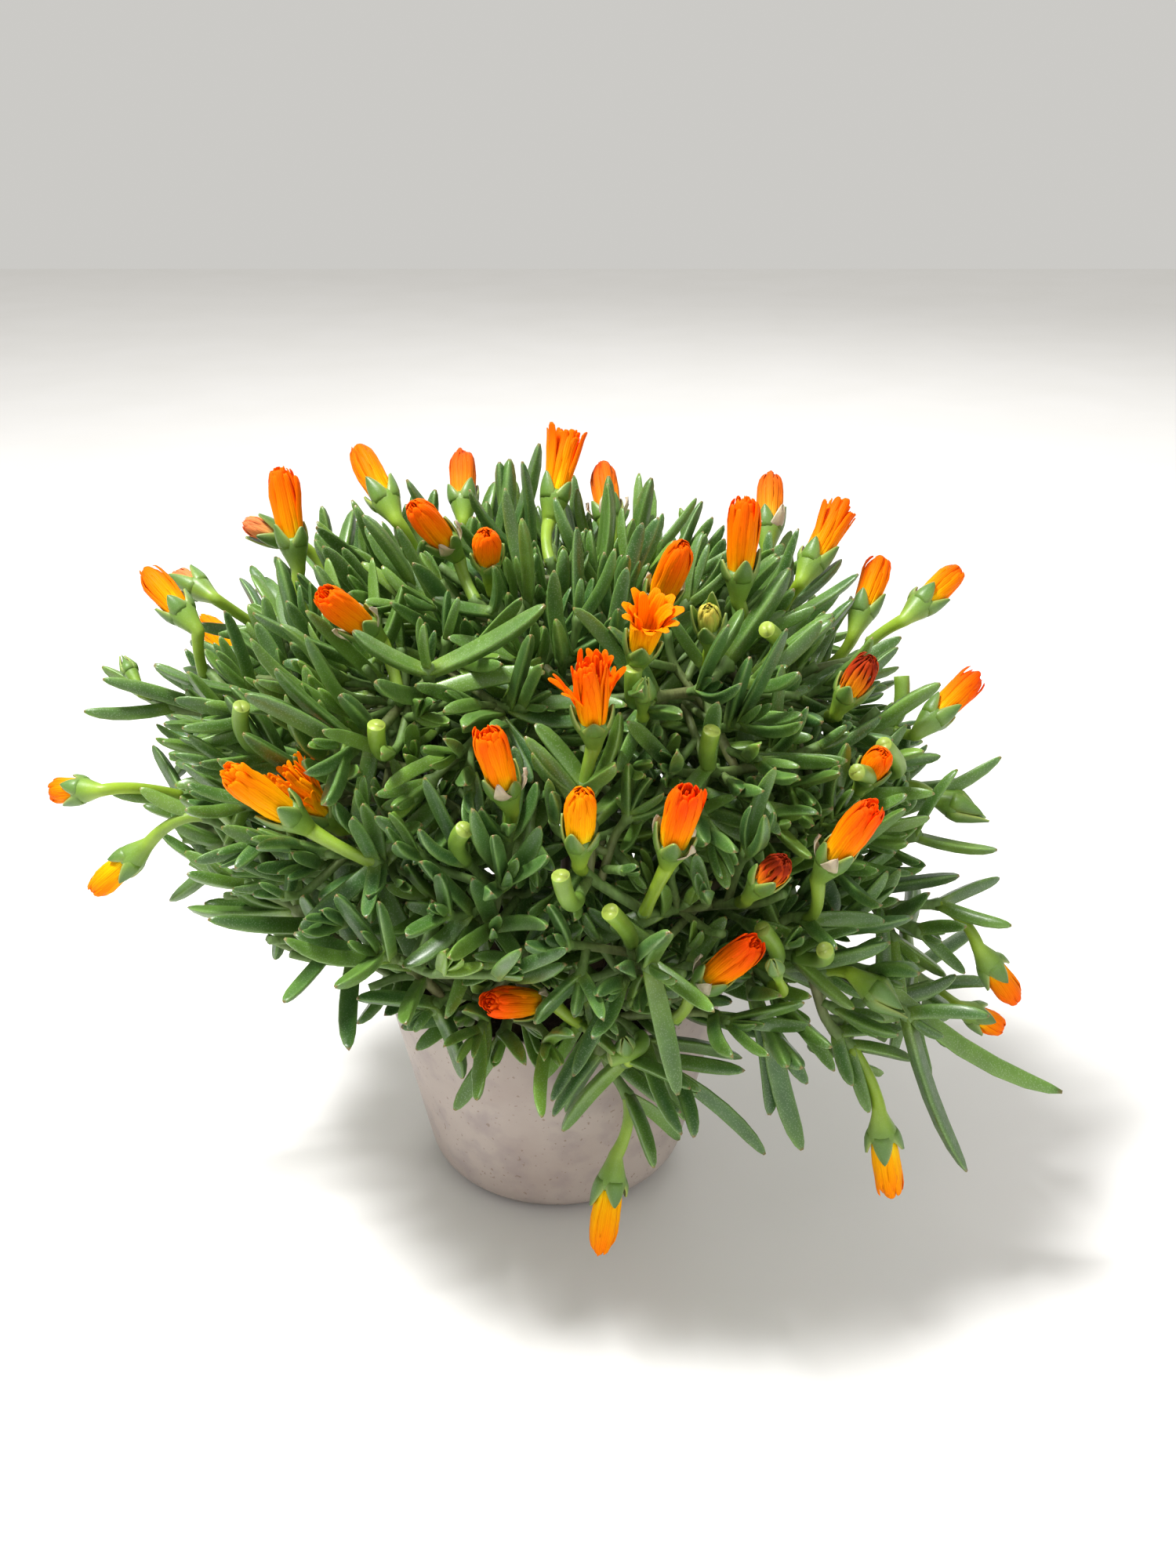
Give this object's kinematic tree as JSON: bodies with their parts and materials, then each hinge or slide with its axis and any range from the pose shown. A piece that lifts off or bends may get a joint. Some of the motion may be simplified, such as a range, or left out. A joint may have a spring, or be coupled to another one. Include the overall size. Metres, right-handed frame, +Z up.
{
  "type": "potted ice plant",
  "caption": "Potted succulent with a dome of branching stems, paired fleshy leaves and closed orange blooms in a thin tapered pot.",
  "frame": {"origin": "middle of the pot's flat base, on the ground", "axes": "+Z up the pot's axis, -Y towards the side that the picture shows, +X to its right"},
  "size_m": [0.2901, 0.2254, 0.2301],
  "materials": {
    "pot": "thin smooth grey-pink plastic",
    "soil": "matte dark crumbly potting soil of peat and bark",
    "leaf": "satin waxy blue-green succulent leaves on paler stems",
    "petal": "satin orange petals, yellow at the base"
  },
  "bodies": {
    "root": {"pot": "pot", "soil": "soil", "stem_01": "leaf", "stem_02": "leaf", "stem_03": "leaf", "stem_04": "leaf", "stem_05": "leaf", "stem_06": "leaf", "stem_07": "leaf", "stem_08": "leaf", "stem_09": "leaf", "stem_10": "leaf", "stem_11": "leaf", "stem_12": "leaf", "stem_13": "leaf", "stem_14": "leaf", "stem_15": "leaf", "stem_16": "leaf", "petals_01": "petal", "petals_02": "petal", "petals_03": "petal", "petals_04": "petal", "petals_05": "petal", "petals_06": "petal", "petals_07": "petal", "petals_08": "petal", "petals_09": "petal", "petals_10": "petal", "petals_11": "petal", "petals_12": "petal", "petals_13": "petal", "petals_14": "petal", "petals_15": "petal", "petals_16": "petal", "petals_17": "petal", "petals_18": "petal", "petals_19": "petal", "petals_20": "petal", "petals_21": "petal", "petals_22": "petal", "petals_23": "petal", "petals_24": "petal", "petals_25": "petal", "petals_26": "petal", "petals_27": "petal", "petals_28": "petal", "petals_29": "petal", "petals_30": "petal", "petals_31": "petal", "petals_32": "petal", "petals_33": "petal", "petals_34": "petal", "petals_35": "petal", "petals_36": "petal", "petals_37": "petal", "petals_38": "petal", "petals_39": "petal", "petals_40": "petal", "petals_41": "petal", "petals_42": "petal"}
  },
  "joints": []
}
